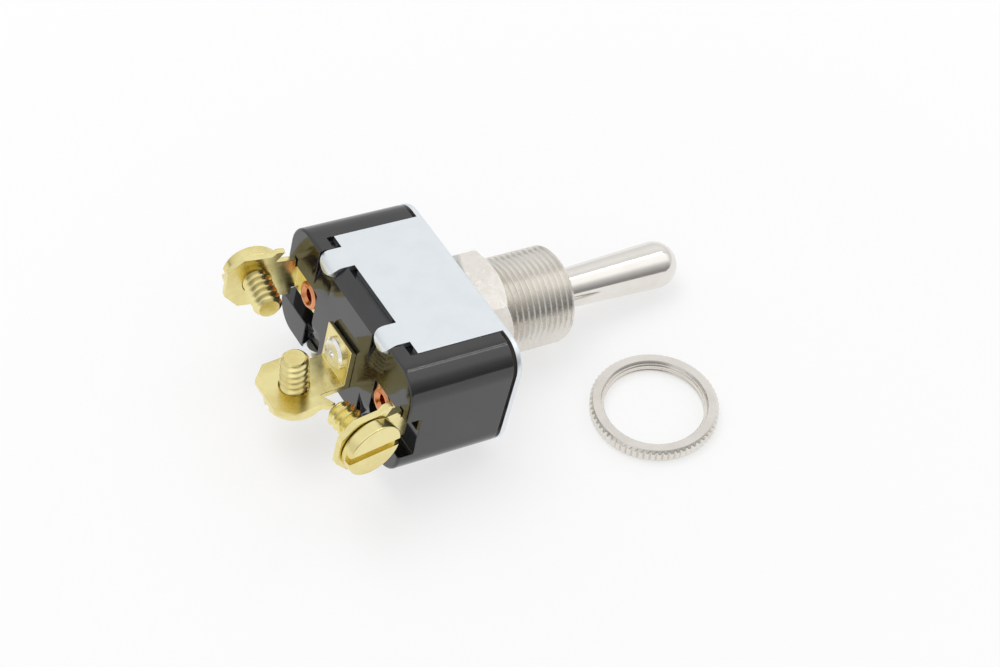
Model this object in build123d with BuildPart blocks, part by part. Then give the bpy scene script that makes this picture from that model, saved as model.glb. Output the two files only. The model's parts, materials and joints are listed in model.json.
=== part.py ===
from build123d import *
import math
import os

os.makedirs("parts", exist_ok=True)

# Axes: +X along the bushing and lever, +Z square to the wide side, origin on the panel seat

# Housing sizes
body_length = 28.8
body_thickness = 15.5
body_depth = 14.6
body_corner = 3.4
wall_z = 1.7
wall_y = 2.8
base_floor = 2.8
edge_break = 0.35
seat_gap = 0.04

# Sheet frame sizes
sheet = 0.8
plate_width = 20.0
plate_end_gap = 0.93
tab_inner = 4.9
tab_width = 3.2
tab_proud = 0.2
tab_bend = 1.4
tab_drop = 0.25
tab_clearance = 0.12
tab_tip_room = 0.8
block_setback = 1.8
block_slope_run = 1.5
block_slope_rise = 1.1
pocket_foot = 2.6

# Insulating liner sizes
liner_thickness = 0.4
liner_margin = 0.8
liner_hole_gap = 0.2

# Bushing and nut sizes
thread_radius = 5.95
mesh_depth = 0.25
nut_front_gap = 0.1
bushing_length = 13.75
spigot_radius = 5.0
flare_radius = 5.35
flare_thickness = 0.35
mouth_radius = 4.35
throat_radius = 3.0
ball_bore_gap = 0.15
ball_bore_end = 4.0
skirt_radius = 4.4
thread_gap = 0.05
thread_pitch = 25.4 / 32
thread_depth = 0.4
thread_land = 0.2
hex_flats = 14.3
hex_thickness = 3.95
hex_turn = 12.0
hex_rear_slope = 34.0
hex_front_slope = 44.0
ring_radius = 7.7
ring_thickness = 1.9
ring_chamfer = 0.38
ring_bore_chamfer = 0.45
knurl_count = 64
knurl_side = 0.38

# Loose nut lying beside the switch
rest_pitch = 10.6
ring_place = (19.35, -17.3, -5.6)

# Lever sizes
pivot_x = 6.0
ball_radius = 3.6
lever_tip_radius = 2.97
lever_tip_x = 29.17
lever_mouth_radius = 2.35
lever_neck_radius = 2.1
arm_radius = 2.5
arm_lift = 3.6
arm_bore_depth = 6.8
pin_radius = 0.75
pin_length = 9.2
pin_fit = 0.02
running_fit = 0.05

# Plunger and spring sizes
plunger_radius = 1.6
plunger_seat_depth = 2.4
plunger_pilot_radius = 0.7
plunger_pilot_length = 1.1
plunger_rest_gap = 0.08
plunger_travel = 0.8
spring_wire = 0.36
spring_turns = 4.5
spring_seat_gap = 0.06

# Rocker sizes
rocker_lift = 3.2
rocker_thickness = 0.8
rocker_overhang = 1.28
rocker_half_width = 2.6
rocker_rise = 5.0
rocker_axis_drop = 0.75
trunnion_radius = 0.65
trunnion_reach = 3.65
cradle_gap = 0.4
cradle_sheet = 0.7
cradle_ear_half = 1.6
cradle_foot_half = 2.4
cradle_ear_top = 0.9

# Contact and rivet sizes
contact_inset = 5.38
contact_radius = 1.6
moving_contact_thickness = 0.65
fixed_contact_thickness = 0.7
rivet_head_radius = 1.9
rivet_head_thickness = 0.8
tube_radius = 1.2
tube_bore = 0.8
tube_bore_floor = 1.0
tube_flange_radius = 1.75
tube_flange_thickness = 0.4
common_shank = 1.3
common_head_radius = 1.95
common_head_thickness = 0.65
common_dimple = 0.55
common_inner_head = 0.6
common_drop = 0.5
rivet_fit = 0.03

# Terminal sizes
strip = 0.8
terminal_slot_depth = 1.15
slot_lower = 3.9
well_skin = 0.85
ledge_margin = 0.4
foot_back = 1.8
common_foot_back = 2.4
tongue_half = 1.65
foot_half = 2.75
bend_reach = 3.3
common_bend_reach = 2.8
bend_inner = 0.6
flare = 8.0
neck_length = 3.5
notch_reach = 3.0
ear_reach = 2.0
plate_reach = 8.7
plate_clip = 1.8
outer_plate_half = 3.6
outer_ear_half = 4.2
common_plate_half = 4.3
common_ear_half = 4.6
screw_reach = 4.95

# Terminal screw sizes
screw_radius = 1.74
screw_head_radius = 3.5
screw_head_thickness = 1.6
screw_head_chamfer = 0.2
screw_head_gap = 0.08
screw_slot_width = 1.0
screw_slot_depth = 0.8
screw_reach_past = 4.6
screw_tip_chamfer = 0.4

half_thickness = body_thickness / 2
half_length = body_length / 2
half_plate = plate_width / 2
floor_inner = body_depth - base_floor
block_face = body_depth - block_setback
plate_depth = block_face - plate_end_gap
tab_reach = body_depth + tab_proud
tab_end = half_thickness - tab_bend - tab_drop
seat_level = half_thickness - sheet - seat_gap
liner_back = -sheet - liner_thickness - seat_gap
bore_radius = thread_radius + thread_gap
mesh_radius = thread_radius - mesh_depth
mesh_end = seat_gap + hex_thickness + nut_front_gap
ring_wall = ring_radius - bore_radius
ring_edge = min(ring_chamfer, ring_wall / 3)
ring_bore_edge = min(ring_bore_chamfer, ring_wall / 3)
ball_bore = ball_radius + ball_bore_gap
flare_back = -sheet - seat_gap - flare_thickness
pocket_face = -tab_reach + sheet + tab_clearance
contact_y = half_length - contact_inset
slot_floor = body_depth - terminal_slot_depth
slot_well = floor_inner + well_skin
slot_inner = contact_y - foot_back - tab_clearance
slot_upper = tongue_half + tab_clearance
ledge_end = contact_y + tube_flange_radius + ledge_margin
shoulder_height = terminal_slot_depth + tab_clearance
cavity_half_y = half_length - wall_y
cavity_half_z = seat_level - wall_z
rocker_top = rocker_lift - floor_inner
rocker_under = rocker_top - rocker_thickness
rocker_axis = rocker_top - rocker_axis_drop
rocker_half_length = contact_y + rocker_overhang
arm_end = rocker_top + arm_lift
plunger_shoulder = arm_end + plunger_seat_depth
cradle_inner = rocker_half_width + cradle_gap


# Sheet frame: front web, two side plates and four rolled tabs
with BuildPart() as frame:
    with BuildSketch(Plane.YZ):
        RectangleRounded(body_length, body_thickness, body_corner)
    extrude(amount=-sheet)
    with BuildSketch(Plane.XY.offset(half_thickness)):
        with Locations((-plate_depth / 2, 0)):
            Rectangle(plate_depth, plate_width)
    extrude(amount=-sheet)
    for tab_start in (tab_inner, -tab_inner - tab_width):
        with BuildSketch(Plane.XZ.offset(-tab_start - tab_width)):
            with BuildLine():
                tab_top = Line(
                    (-plate_depth + sheet, half_thickness),
                    (-tab_reach + tab_bend, half_thickness),
                )
                outer_roll = TangentArc(
                    tab_top @ 1,
                    (-tab_reach, half_thickness - tab_bend),
                    tangent=tab_top % 1,
                )
                tab_back = Line(outer_roll @ 1, (-tab_reach, tab_end))
                tab_tip = Line(tab_back @ 1, tab_back @ 1 + (sheet, 0))
                tab_front = Line(tab_tip @ 1, (-tab_reach + sheet, half_thickness - tab_bend))
                inner_roll = TangentArc(
                    tab_front @ 1,
                    (-tab_reach + tab_bend, half_thickness - sheet),
                    tangent=tab_front % 1,
                )
                tab_under = Line(inner_roll @ 1, (-plate_depth + sheet, half_thickness - sheet))
                Line(tab_under @ 1, tab_top @ 0)
            make_face()
        extrude(amount=tab_width)
        tip_point = (-tab_reach, tab_start + tab_width / 2, tab_end)
        with BuildSketch(Plane(origin=tip_point, x_dir=(-1, 0, -1), z_dir=(1, 0, -1))):
            with Locations((-tab_width / 2, 0)):
                Rectangle(tab_width, tab_width + 2 * sheet)
                Circle(tab_width / 2, mode=Mode.SUBTRACT)
            with Locations((-tab_width, 0)):
                Rectangle(tab_width, tab_width, mode=Mode.SUBTRACT)
        extrude(amount=tab_bend + sheet, both=True, mode=Mode.SUBTRACT)
    mirror(about=Plane.XY)
    fillet(frame.faces().sort_by(Axis.X)[-1].outer_wire().edges(), radius=edge_break)
    with BuildSketch(Plane.YZ):
        Circle(spigot_radius + rivet_fit)
    extrude(amount=-sheet, mode=Mode.SUBTRACT)
frame.part.label = "frame"
export_step(frame.part, "parts/frame.step")

# Insulating liner between the frame and the base
with BuildPart() as liner:
    with BuildSketch(Plane.YZ.offset(-sheet - seat_gap / 2)):
        RectangleRounded(
            body_length - 2 * liner_margin,
            2 * seat_level,
            body_corner - liner_margin,
        )
        Circle(flare_radius + liner_hole_gap, mode=Mode.SUBTRACT)
    extrude(amount=-liner_thickness)
liner.part.label = "liner"
export_step(liner.part, "parts/liner.step")

# Moulded base with its cavity, plate seats, tab pockets and terminal slots
with BuildPart() as base:
    with BuildSketch(Plane.YZ.offset(liner_back)):
        RectangleRounded(body_length, body_thickness, body_corner)
    extrude(amount=-(body_depth + liner_back))
    fillet(base.faces().sort_by(Axis.X)[0].edges().filter_by(Axis.Z), radius=edge_break)
    with BuildSketch(Plane.XZ):
        with Locations((0, half_thickness), (0, -half_thickness)):
            Rectangle(2 * block_face, 2 * (half_thickness - seat_level))
    extrude(amount=half_plate + seat_gap, both=True, mode=Mode.SUBTRACT)
    with BuildSketch(Plane.XZ):
        with BuildLine():
            Polyline(
                (-block_face, half_thickness),
                (-block_face - block_slope_run, half_thickness - block_slope_rise),
                (-body_depth - sheet, half_thickness - block_slope_rise),
                (-body_depth - sheet, half_thickness),
                close=True,
            )
        make_face()
        mirror(about=Plane.XZ)
    extrude(amount=tab_inner, both=True, mode=Mode.SUBTRACT)
    for tab_start in (tab_inner, -tab_inner - tab_width):
        with BuildSketch(Plane.XZ.offset(-tab_start - tab_width - tab_clearance)):
            with BuildLine():
                Polyline(
                    (-block_face + sheet, half_thickness + sheet),
                    (-block_face + sheet, seat_level),
                    (-tab_reach + tab_bend + tab_clearance, seat_level),
                    (pocket_face, half_thickness - tab_bend),
                    (pocket_face, tab_end - tab_tip_room),
                    (-body_depth, pocket_foot),
                    (-body_depth - sheet, pocket_foot),
                    (-body_depth - sheet, half_thickness + sheet),
                    close=True,
                )
            make_face()
            mirror(about=Plane.XZ)
        extrude(amount=tab_width + 2 * tab_clearance, mode=Mode.SUBTRACT)
    with BuildSketch(Plane.YZ.offset(liner_back)):
        RectangleRounded(2 * cavity_half_y, 2 * cavity_half_z, edge_break * 2)
    extrude(amount=-(floor_inner + liner_back), mode=Mode.SUBTRACT)
    for end in (1, -1):
        slot_middle = (end * (slot_inner + half_length) / 2, (slot_upper - slot_lower) / 2)
        ledge_middle = (end * (slot_inner + ledge_end) / 2, (slot_upper - tongue_half) / 2)
        with BuildSketch(Plane.YZ.offset(-body_depth)):
            with Locations(slot_middle):
                Rectangle(half_length - slot_inner, slot_upper + slot_lower)
        extrude(amount=body_depth - slot_floor, mode=Mode.SUBTRACT)
        with BuildSketch(Plane.YZ.offset(-slot_floor)):
            with Locations(slot_middle):
                Rectangle(half_length - slot_inner, slot_upper + slot_lower)
            with Locations(ledge_middle):
                Rectangle(ledge_end - slot_inner, slot_upper + tongue_half, mode=Mode.SUBTRACT)
        extrude(amount=slot_floor - slot_well, mode=Mode.SUBTRACT)
        with BuildSketch(Plane.YZ.offset(-slot_floor)):
            with Locations((end * contact_y, 0)):
                Circle(tube_radius + rivet_fit)
        extrude(amount=slot_floor - floor_inner, mode=Mode.SUBTRACT)
    with BuildSketch(Plane.YZ.offset(-body_depth)):
        with Locations((0, -common_drop)):
            Circle(common_shank + rivet_fit)
    extrude(amount=body_depth - floor_inner, mode=Mode.SUBTRACT)
base.part.label = "base"
export_step(base.part, "parts/base.step")

# Bushing: staked spigot, ball socket, throat, mouth, pin slots and a ring groove for each turn of thread
throat_angle = math.degrees(math.asin(throat_radius / ball_bore))
groove_count = math.floor((bushing_length - edge_break - mesh_end) / thread_pitch) - 1
with BuildPart() as bushing:
    with BuildSketch(Plane.XY):
        with BuildLine():
            outside = Polyline(
                (0, skirt_radius),
                (flare_back, skirt_radius),
                (flare_back, flare_radius),
                (-sheet - seat_gap, flare_radius),
                (-sheet - seat_gap, spigot_radius),
                (0, spigot_radius),
                (0, mesh_radius),
                (mesh_end, mesh_radius),
                (mesh_end, thread_radius),
                (bushing_length - edge_break, thread_radius),
                (bushing_length, thread_radius - edge_break),
                (bushing_length, mouth_radius),
            )
            socket = CenterArc((pivot_x, 0), ball_bore, throat_angle, 90 - throat_angle)
            Line(outside @ 1, socket @ 0)
            Polyline(socket @ 1, (ball_bore_end, ball_bore), outside @ 0)
        make_face()
    revolve(axis=Axis.X)
    with BuildSketch(Plane.XY):
        with Locations((pivot_x, 0)):
            Circle(pin_radius + running_fit)
        with Locations(((pivot_x + flare_back) / 2, 0)):
            Rectangle(pivot_x - flare_back, 2 * (pin_radius + running_fit))
    extrude(amount=pin_length / 2 + running_fit, both=True, mode=Mode.SUBTRACT)
    with BuildSketch(Plane.XY):
        for groove in range(groove_count):
            with Locations((mesh_end + (groove + 1) * thread_pitch, thread_radius)):
                Polygon(
                    (thread_land / 2 - thread_pitch / 2, 0),
                    (0, -thread_depth),
                    (thread_pitch / 2 - thread_land / 2, 0),
                    align=None,
                )
    revolve(axis=Axis.X, mode=Mode.SUBTRACT)
bushing.part.label = "bushing"
export_step(bushing.part, "parts/bushing.step")

# Hex nut at the root of the bushing, its corners turned down on both faces
corner_radius = hex_flats / math.sqrt(3)
corner_drop = corner_radius - hex_flats / 2
rear_run = corner_drop * math.tan(math.radians(hex_rear_slope))
front_run = corner_drop * math.tan(math.radians(hex_front_slope))
nut_face = hex_thickness + seat_gap
with BuildPart() as hex_nut:
    with BuildSketch(Plane.YZ.offset(seat_gap)):
        RegularPolygon(hex_flats / 2, 6, major_radius=False, rotation=hex_turn)
    extrude(amount=hex_thickness)
    with BuildSketch(Plane.XY):
        with BuildLine():
            Polyline(
                (seat_gap, mesh_radius + thread_gap),
                (seat_gap, hex_flats / 2),
                (seat_gap + rear_run, corner_radius),
                (nut_face - front_run, corner_radius),
                (nut_face, hex_flats / 2),
                (nut_face, mesh_radius + thread_gap),
                close=True,
            )
        make_face()
    revolve(axis=Axis.X, mode=Mode.INTERSECT)
hex_nut.part.label = "hex_nut"
export_step(hex_nut.part, "parts/hex_nut.step")

# Knurled face nut, taken off and lying beside the switch
rest_x = Vector(math.cos(math.radians(rest_pitch)), 0, math.sin(math.radians(rest_pitch)))
rest_up = Vector(-math.sin(math.radians(rest_pitch)), 0, math.cos(math.radians(rest_pitch)))
rest_plane = Plane(origin=ring_place, x_dir=rest_x, z_dir=rest_up)
ring_section = Plane(origin=ring_place, x_dir=rest_x, z_dir=-rest_plane.y_dir)
with BuildPart() as face_nut:
    with BuildSketch(ring_section):
        with BuildLine():
            Polyline(
                (bore_radius, ring_bore_edge),
                (bore_radius + ring_bore_edge, 0),
                (ring_radius - ring_edge, 0),
                (ring_radius, ring_edge),
                (ring_radius, ring_thickness - ring_edge),
                (ring_radius - ring_edge, ring_thickness),
                (bore_radius + ring_bore_edge, ring_thickness),
                (bore_radius, ring_thickness - ring_bore_edge),
                close=True,
            )
        make_face()
    revolve(axis=Axis(ring_place, rest_up))
    with BuildSketch(rest_plane):
        with PolarLocations(ring_radius, knurl_count):
            Rectangle(knurl_side, knurl_side, rotation=45)
    extrude(amount=ring_thickness, mode=Mode.SUBTRACT)
face_nut.part.label = "face_nut"
export_step(face_nut.part, "parts/face_nut.step")

# Lever: bat handle, pivot ball and bored inner arm
neck_angle = math.degrees(math.asin(lever_neck_radius / ball_radius))
arm_angle = 180 - math.degrees(math.asin(arm_radius / ball_radius))
with BuildPart() as lever:
    with BuildSketch(Plane.XY):
        with BuildLine():
            tip = CenterArc((lever_tip_x, 0), lever_tip_radius, 0, 90)
            ball = CenterArc((pivot_x, 0), ball_radius, neck_angle, arm_angle - neck_angle)
            Polyline(tip @ 1, (bushing_length, lever_mouth_radius), ball @ 0)
            Polyline(ball @ 1, (arm_end, arm_radius), (arm_end, 0), tip @ 0)
        make_face()
    revolve(axis=Axis.X)
    with BuildSketch(Plane.YZ.offset(arm_end)):
        Circle(plunger_radius + running_fit)
    extrude(amount=arm_bore_depth, mode=Mode.SUBTRACT)
    with BuildSketch(Plane.XY):
        with Locations((pivot_x, 0)):
            Circle(pin_radius + pin_fit)
    extrude(amount=ball_radius, both=True, mode=Mode.SUBTRACT)
lever.part.label = "lever"
export_step(lever.part, "parts/lever.step")

# Pivot pin pressed through the ball
with BuildPart() as lever_pin:
    with BuildSketch(Plane.XY):
        with Locations((pivot_x, 0)):
            Circle(pin_radius)
    extrude(amount=pin_length / 2, both=True)
lever_pin.part.label = "lever_pin"
export_step(lever_pin.part, "parts/lever_pin.step")

# Plunger in the inner arm
plunger_tip = rocker_top + plunger_rest_gap
with BuildPart() as plunger:
    with BuildSketch(Plane.XY):
        with BuildLine():
            nose = CenterArc((plunger_tip + plunger_radius, 0), plunger_radius, 90, 90)
            Polyline(
                nose @ 0,
                (plunger_shoulder, plunger_radius),
                (plunger_shoulder, plunger_pilot_radius),
                (plunger_shoulder + plunger_pilot_length, plunger_pilot_radius),
                (plunger_shoulder + plunger_pilot_length, 0),
                nose @ 1,
            )
        make_face()
    revolve(axis=Axis.X)
plunger.part.label = "plunger"
export_step(plunger.part, "parts/plunger.step")

# Compression spring behind the plunger, shown loaded
spring_outer = plunger_radius - spring_wire / 2 - spring_seat_gap
spring_start = plunger_shoulder + spring_seat_gap + spring_wire / 2
spring_end = arm_end + arm_bore_depth - plunger_travel - spring_seat_gap - spring_wire / 2
spring_height = spring_end - spring_start
with BuildPart() as plunger_spring:
    with BuildLine():
        coil = Helix(
            pitch=spring_height / spring_turns,
            height=spring_height,
            radius=spring_outer,
            center=(spring_start, 0, 0),
            direction=(1, 0, 0),
        )
    with BuildSketch(Plane(origin=coil @ 0, z_dir=coil % 0)):
        Circle(spring_wire / 2)
    sweep(path=coil, is_frenet=True)
plunger_spring.part.label = "plunger_spring"
export_step(plunger_spring.part, "parts/plunger_spring.step")

# Rocker blade in its shallow V, with the trunnion that it tilts on
rise = rocker_half_length * math.tan(math.radians(rocker_rise))
with BuildPart() as rocker:
    with BuildSketch(Plane.XY):
        with BuildLine():
            Polyline(
                (rocker_top, 0),
                (rocker_top + rise, rocker_half_length),
                (rocker_under + rise, rocker_half_length),
                (rocker_under, 0),
                (rocker_under + rise, -rocker_half_length),
                (rocker_top + rise, -rocker_half_length),
                close=True,
            )
        make_face()
    extrude(amount=rocker_half_width, both=True)
    with BuildSketch(Plane.XY):
        with Locations((rocker_axis, 0)):
            Circle(trunnion_radius)
    extrude(amount=trunnion_reach, both=True)
rocker.part.label = "rocker"
export_step(rocker.part, "parts/rocker.step")

# Silver contact buttons under the rocker's two arms
arm_sin = math.sin(math.radians(rocker_rise))
arm_cos = math.cos(math.radians(rocker_rise))
for name, side in (("a", 1), ("b", -1)):
    arm_direction = Vector(arm_sin, side * arm_cos, 0)
    arm_outward = Vector(-arm_cos, side * arm_sin, 0)
    arm_point = (rocker_under + contact_y * arm_sin / arm_cos, side * contact_y, 0)
    with BuildPart() as moving_contact:
        with BuildSketch(Plane(origin=arm_point, x_dir=arm_direction, z_dir=arm_outward)):
            Circle(contact_radius - rivet_fit)
        extrude(amount=moving_contact_thickness)
        fillet(moving_contact.faces().sort_by(Axis.X)[0].edges(), radius=edge_break / 2)
    moving_contact.part.label = "moving_contact_" + name
    export_step(moving_contact.part, "parts/moving_contact_" + name + ".step")

# Cradle that carries the rocker on two ears
with BuildPart() as cradle:
    with BuildSketch(Plane.XY):
        with Locations(((rocker_axis - floor_inner) / 2, 0)):
            Rectangle(rocker_axis + floor_inner, 2 * cradle_ear_half)
        with Locations((rocker_axis, 0)):
            Circle(trunnion_radius + cradle_ear_top)
            Circle(trunnion_radius + running_fit, mode=Mode.SUBTRACT)
    extrude(amount=cradle_inner + cradle_sheet, both=True)
    with BuildSketch(Plane.XY):
        with Locations((-floor_inner + cradle_sheet + floor_inner / 2, 0)):
            Rectangle(floor_inner, 4 * cradle_ear_half)
    extrude(amount=cradle_inner, both=True, mode=Mode.SUBTRACT)
    with BuildSketch(Plane.YZ.offset(-floor_inner)):
        Rectangle(2 * cradle_foot_half, 2 * (cradle_inner + cradle_sheet))
    extrude(amount=cradle_sheet)
    with BuildSketch(Plane.YZ.offset(-floor_inner)):
        with Locations((0, -common_drop)):
            Circle(common_shank + rivet_fit)
    extrude(amount=cradle_sheet, mode=Mode.SUBTRACT)
cradle.part.label = "cradle"
export_step(cradle.part, "parts/cradle.step")

# Solid silver rivet through the common terminal, the base and the cradle
common_foot = -body_depth - strip
with BuildPart() as common_rivet:
    with BuildSketch(Plane.XY.offset(-common_drop)):
        with BuildLine():
            Polyline(
                (common_foot - common_head_thickness, 0),
                (common_foot - common_head_thickness, common_head_radius - edge_break),
                (common_foot - edge_break, common_head_radius),
                (common_foot, common_head_radius),
                (common_foot, common_shank),
                (-floor_inner + cradle_sheet, common_shank),
                (-floor_inner + cradle_sheet, common_head_radius - edge_break),
                (-floor_inner + cradle_sheet + common_inner_head, common_shank),
                (-floor_inner + cradle_sheet + common_inner_head, 0),
                close=True,
            )
        make_face()
    revolve(axis=Axis((0, 0, -common_drop), (1, 0, 0)))
    with Locations((common_foot - common_head_thickness, 0, -common_drop)):
        Sphere(common_dimple, mode=Mode.SUBTRACT)
common_rivet.part.label = "common_rivet"
export_step(common_rivet.part, "parts/common_rivet.step")

# Tubular copper rivets of the outer terminals and the fixed contacts on them
outer_foot = -slot_floor - strip
for name, side in (("a", 1), ("b", -1)):
    rivet_axis = Axis((0, side * contact_y, 0), (1, 0, 0))
    rivet_section = Plane(origin=(0, side * contact_y, 0), x_dir=(1, 0, 0), z_dir=(0, 0, 1))
    with BuildPart() as rivet:
        with BuildSketch(rivet_section):
            with BuildLine():
                Polyline(
                    (-floor_inner - tube_bore_floor, 0),
                    (-floor_inner - tube_bore_floor, tube_bore),
                    (outer_foot, tube_bore),
                    (outer_foot - tube_flange_thickness, tube_radius),
                    (outer_foot - tube_flange_thickness, (tube_radius + tube_flange_radius) / 2),
                    (outer_foot - tube_flange_thickness / 2, tube_flange_radius),
                    (outer_foot, tube_flange_radius),
                    (outer_foot, tube_radius),
                    (-floor_inner, tube_radius),
                    (-floor_inner, rivet_head_radius),
                    (-floor_inner + rivet_head_thickness, rivet_head_radius),
                    (-floor_inner + rivet_head_thickness, 0),
                    close=True,
                )
            make_face()
        revolve(axis=rivet_axis)
    rivet.part.label = "rivet_" + name
    export_step(rivet.part, "parts/rivet_" + name + ".step")
    with BuildPart() as fixed_contact:
        with BuildSketch(Plane.YZ.offset(-floor_inner + rivet_head_thickness)):
            with Locations((side * contact_y, 0)):
                Circle(contact_radius)
        extrude(amount=fixed_contact_thickness)
        fillet(fixed_contact.faces().sort_by(Axis.X)[-1].edges(), radius=edge_break / 2)
    fixed_contact.part.label = "fixed_contact_" + name
    export_step(fixed_contact.part, "parts/fixed_contact_" + name + ".step")

# Screw terminals: riveted foot, bend, neck and tapped plate, each with its slotted screw
flare_sin = math.sin(math.radians(flare))
flare_cos = math.cos(math.radians(flare))
corner_run = strip * flare_cos - strip * (1 - flare_sin) * flare_sin / flare_cos
outer_sizes = (foot_back, bend_reach, tongue_half, outer_plate_half, outer_ear_half, tube_radius)
common_sizes = (
    common_foot_back,
    common_bend_reach,
    foot_half,
    common_plate_half,
    common_ear_half,
    common_shank,
)
places = (
    ("a", (-slot_floor, contact_y, 0), (0, 1, 0), outer_sizes),
    ("b", (-slot_floor, -contact_y, 0), (0, -1, 0), outer_sizes),
    ("common", (-body_depth, 0, -common_drop), (0, 0, -1), common_sizes),
)
for name, seat, reach, sizes in places:
    foot_run, bend_run, seated_half, plate_half, ear_half, shank = sizes
    outer_corner = bend_run + corner_run
    seat_plane = Plane(origin=seat, x_dir=reach, z_dir=(-1, 0, 0))
    section = Plane(origin=seat, x_dir=reach, z_dir=-seat_plane.y_dir)
    rise_direction = section.x_dir * flare_sin + section.y_dir * flare_cos
    outward = section.x_dir * flare_cos - section.y_dir * flare_sin
    bend_point = section.from_local_coords(Vector(bend_run, strip, 0))
    plate_plane = Plane(origin=bend_point, x_dir=rise_direction, z_dir=outward)
    with BuildPart() as terminal:
        with BuildSketch(section) as bent_strip:
            with BuildLine():
                Polyline(
                    (-foot_run, 0),
                    (outer_corner, 0),
                    (
                        bend_run + strip * flare_cos + neck_length * flare_sin,
                        strip - strip * flare_sin + neck_length * flare_cos,
                    ),
                    (bend_run + neck_length * flare_sin, strip + neck_length * flare_cos),
                    (bend_run, strip),
                    (-foot_run, strip),
                    close=True,
                )
            make_face()
            inner_bend = bent_strip.vertices().sort_by_distance(bend_point)[0]
            outer_bend = bent_strip.vertices().sort_by_distance(
                section.from_local_coords(Vector(outer_corner, 0, 0))
            )[0]
            fillet(inner_bend, radius=bend_inner)
            fillet(outer_bend, radius=bend_inner + strip)
        extrude(amount=foot_half, both=True)
        with BuildSketch(seat_plane):
            Rectangle(2 * plate_reach, 2 * foot_half + strip)
            Rectangle(2 * plate_reach, 2 * seated_half, mode=Mode.SUBTRACT)
        extrude(amount=shoulder_height, mode=Mode.SUBTRACT)
        with BuildSketch(plate_plane):
            with BuildLine():
                Polyline(
                    (notch_reach, foot_half),
                    (ear_reach, ear_half),
                    (notch_reach, ear_half),
                    (notch_reach + ear_half - plate_half, plate_half),
                    (plate_reach - plate_clip, plate_half),
                    (plate_reach, plate_half - plate_clip),
                    (plate_reach, -plate_half + plate_clip),
                    (plate_reach - plate_clip, -plate_half),
                    (notch_reach + ear_half - plate_half, -plate_half),
                    (notch_reach, -ear_half),
                    (ear_reach, -ear_half),
                    (notch_reach, -foot_half),
                    close=True,
                )
            make_face()
        extrude(amount=strip)
        with BuildSketch(plate_plane):
            with Locations((screw_reach, 0)):
                Circle(screw_radius + running_fit)
        extrude(amount=strip, mode=Mode.SUBTRACT)
        with BuildSketch(seat_plane):
            Circle(shank + rivet_fit)
        extrude(amount=strip, mode=Mode.SUBTRACT)
    terminal.part.label = "terminal_" + name
    export_step(terminal.part, "parts/terminal_" + name + ".step")

    screw_plane = plate_plane.offset(strip + screw_head_gap)
    head_origin = screw_plane.from_local_coords(Vector(screw_reach, 0, 0))
    head_plane = Plane(origin=head_origin, x_dir=rise_direction, z_dir=outward)
    with BuildPart() as screw:
        with BuildSketch(head_plane):
            Circle(screw_head_radius)
        extrude(amount=screw_head_thickness)
        chamfer(screw.faces().sort_by(Axis(head_origin, outward))[-1].edges(), length=screw_head_chamfer)
        with BuildSketch(head_plane.offset(screw_head_thickness)):
            Rectangle(2 * screw_head_radius, screw_slot_width)
        extrude(amount=-screw_slot_depth, mode=Mode.SUBTRACT)
        with BuildSketch(head_plane):
            Circle(screw_radius)
        extrude(amount=-(screw_head_gap + strip + screw_reach_past))
        chamfer(
            screw.faces().sort_by(Axis(head_origin, outward))[0].edges(),
            length=screw_tip_chamfer,
        )
    screw.part.label = "screw_" + name
    export_step(screw.part, "parts/screw_" + name + ".step")
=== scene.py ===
import json
import math

import bmesh
import bpy
from mathutils import Matrix, Vector

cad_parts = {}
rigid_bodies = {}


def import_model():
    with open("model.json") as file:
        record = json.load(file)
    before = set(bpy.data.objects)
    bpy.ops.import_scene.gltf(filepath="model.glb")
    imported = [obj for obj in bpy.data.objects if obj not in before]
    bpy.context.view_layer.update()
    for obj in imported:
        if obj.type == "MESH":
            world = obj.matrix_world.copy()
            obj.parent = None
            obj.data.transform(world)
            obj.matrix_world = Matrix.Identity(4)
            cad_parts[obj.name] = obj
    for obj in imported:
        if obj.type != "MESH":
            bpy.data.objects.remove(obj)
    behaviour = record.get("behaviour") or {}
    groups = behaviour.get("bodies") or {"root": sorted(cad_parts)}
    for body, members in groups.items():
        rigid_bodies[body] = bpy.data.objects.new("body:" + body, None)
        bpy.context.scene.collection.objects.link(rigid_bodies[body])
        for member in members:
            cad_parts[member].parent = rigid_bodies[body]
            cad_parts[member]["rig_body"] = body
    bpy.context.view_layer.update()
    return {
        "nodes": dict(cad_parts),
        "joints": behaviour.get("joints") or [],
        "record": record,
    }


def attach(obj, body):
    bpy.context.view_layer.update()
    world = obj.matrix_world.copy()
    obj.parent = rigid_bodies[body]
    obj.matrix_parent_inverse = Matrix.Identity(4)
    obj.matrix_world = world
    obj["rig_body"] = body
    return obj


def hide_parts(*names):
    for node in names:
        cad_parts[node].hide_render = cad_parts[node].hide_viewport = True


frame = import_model()
nodes = frame["nodes"]

# Sizes below are in millimetres, as in the part's source, and MM turns them into metres
MM = 0.001

# Camera: lens in millimetres, place, and the directions of its right, its top and its back
camera_lens = 80.561
camera_place = (-124.66, -147.91, 177.41)
camera_right = (0.83989, -0.50387, 0.20175)
camera_up = (0.23020, 0.66732, 0.70830)
camera_back = (-0.49153, -0.54845, 0.67647)

# Thread of the bushing and its nuts, then what every thread here shares: how far from a crest's
# middle a flank's foot lies and how far the flank runs, both in half pitches, and rows in a turn
thread_pitch = 25.4 / 32
flank_foot = 0.9
flank_run = 0.8
thread_rows = 10

# Bushing: the thread and the part of it inside the hex nut
bushing_thread_radius = 5.95
bushing_thread_depth = 0.46
bushing_run_out = bushing_thread_depth + 0.04
bushing_length = 13.75
bushing_segments = 128
nut_front = 3.99
nut_bore_radius = 5.7

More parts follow.
